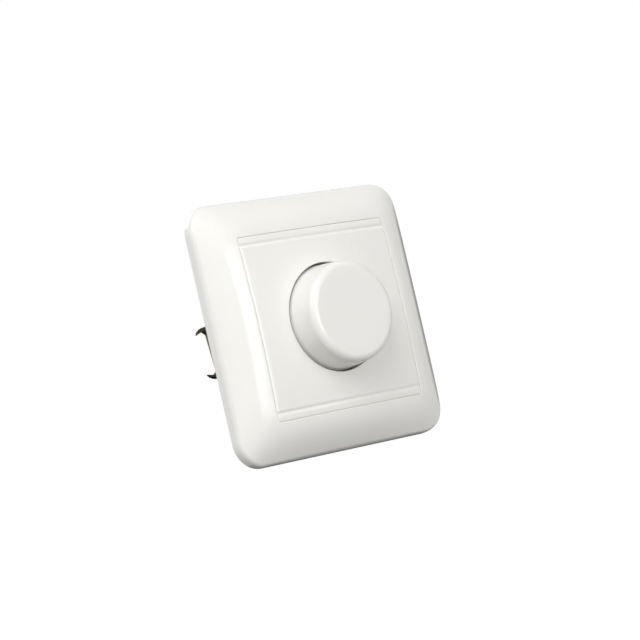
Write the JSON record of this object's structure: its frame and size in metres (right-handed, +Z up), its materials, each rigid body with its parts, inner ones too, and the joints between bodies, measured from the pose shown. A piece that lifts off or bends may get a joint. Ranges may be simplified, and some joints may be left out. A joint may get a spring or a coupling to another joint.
{
  "type": "dimmer switch",
  "caption": "Flush rotary dimmer with a square cover frame, domed centre plate, round push knob, steel mounting plate, spreading claws and a box-mounted housing.",
  "frame": {"origin": "centre of the box screw pattern, on the wall plane behind the steel mounting plate", "axes": "-Y out of the wall towards the room along the knob's axis, +Z up, +X right as seen from the room"},
  "size_m": [0.08, 0.0446, 0.08],
  "materials": {
    "white_plastic": "glossy warm white thermoset",
    "zinc_steel": "zinc-plated and yellow-passivated steel",
    "spring_steel": "bare spring steel",
    "brass_metal": "turned and stamped brass",
    "plated_steel": "nickel-plated steel",
    "aluminium_shaft": "turned aluminium",
    "housing_plastic": "moulded dark polyamide",
    "light_plastic": "moulded natural plastic",
    "board": "paper laminate",
    "black_epoxy": "moulded epoxy",
    "pad_silicone": "grey silicone",
    "winding_wire": "enamelled copper wire",
    "capacitor_yellow": "yellow box",
    "fuse_glass": "clear glass",
    "diode_glass": "tinted glass",
    "trimmer_blue": "blue moulding",
    "trimmer_white": "white moulding"
  },
  "bodies": {
    "root": {"outer_frame": "white_plastic", "centre_plate": "white_plastic", "bush_nut": "zinc_steel", "bush_washer": "zinc_steel", "mounting_plate": "zinc_steel", "pot_bush": "brass_metal", "pot_case": "plated_steel", "pot_track": "board", "switch_case": "housing_plastic", "switch_contacts": "brass_metal", "return_spring": "spring_steel", "front_cover": "housing_plastic", "rear_housing": "housing_plastic", "housing_screws": "zinc_steel", "circuit_board": "board", "triac": "black_epoxy", "thermal_pad": "pad_silicone", "triac_screw": "zinc_steel", "triac_nut": "zinc_steel", "choke_core": "black_epoxy", "choke_winding": "winding_wire", "film_capacitor": "capacitor_yellow", "timing_capacitors": "capacitor_yellow", "resistors": "black_epoxy", "diac": "diode_glass", "fuse_tube": "fuse_glass", "fuse_caps": "plated_steel", "fuse_clips": "brass_metal", "terminal_cages": "brass_metal", "terminal_screws": "plated_steel", "trimmer_body": "trimmer_blue"},
    "rotor": {"pot_rotor": "light_plastic", "pot_brush": "brass_metal"},
    "knob": {"knob": "white_plastic", "knob_clip": "spring_steel", "pot_shaft": "aluminium_shaft"},
    "plunger": {"switch_plunger": "light_plastic", "switch_bridge": "brass_metal"},
    "claw_left": {"claw_left": "zinc_steel"},
    "claw_right": {"claw_right": "zinc_steel"},
    "claw_screw_left": {"claw_screw_left": "zinc_steel"},
    "claw_screw_right": {"claw_screw_right": "zinc_steel"},
    "trimmer": {"trimmer_rotor": "trimmer_white"}
  },
  "joints": [
    {"name": "dimmer_turn", "type": "hinge", "parent": "root", "child": "rotor", "pos_m": [0, 0, 0], "axis": [0, 1, 0], "range_deg": [-145, 145]},
    {"name": "knob_push", "type": "slide", "parent": "rotor", "child": "knob", "axis": [0, 1, 0], "range_m": [0, 0.0015], "stiffness_N_per_m": 1300, "springref_m": -0.001},
    {"name": "plunger_push", "type": "slide", "parent": "root", "child": "plunger", "axis": [0, 1, 0], "range_m": [0, 0.0015], "deforming": ["return_spring"]},
    {"name": "claw_left_swing", "type": "hinge", "parent": "root", "child": "claw_left", "pos_m": [-0.01881, -0.0005, -0.00136], "axis": [-0.0698, 0, 0.9976], "range_deg": [0, 15]},
    {"name": "claw_screw_left_turn", "type": "hinge", "parent": "claw_left", "child": "claw_screw_left", "pos_m": [-0.0216, 0, -0.00155], "axis": [0, 1, 0], "range_deg": [0, 520]},
    {"name": "claw_right_swing", "type": "hinge", "parent": "root", "child": "claw_right", "pos_m": [0.01881, -0.0005, 0.00136], "axis": [0.0698, 0, -0.9976], "range_deg": [0, 15]},
    {"name": "claw_screw_right_turn", "type": "hinge", "parent": "claw_right", "child": "claw_screw_right", "pos_m": [0.0216, 0, 0.00155], "axis": [0, 1, 0], "range_deg": [0, 520]},
    {"name": "trimmer_turn", "type": "hinge", "parent": "root", "child": "trimmer", "pos_m": [-0.0118, 0, -0.0098], "axis": [0, 1, 0], "range_deg": [-120, 120]}
  ],
  "couplings": [
    {"joint": "plunger_push", "follows": "knob_push", "ratio": 1},
    {"joint": "claw_left_swing", "follows": "claw_screw_left_turn", "ratio": 0.0288},
    {"joint": "claw_right_swing", "follows": "claw_screw_right_turn", "ratio": 0.0288}
  ]
}
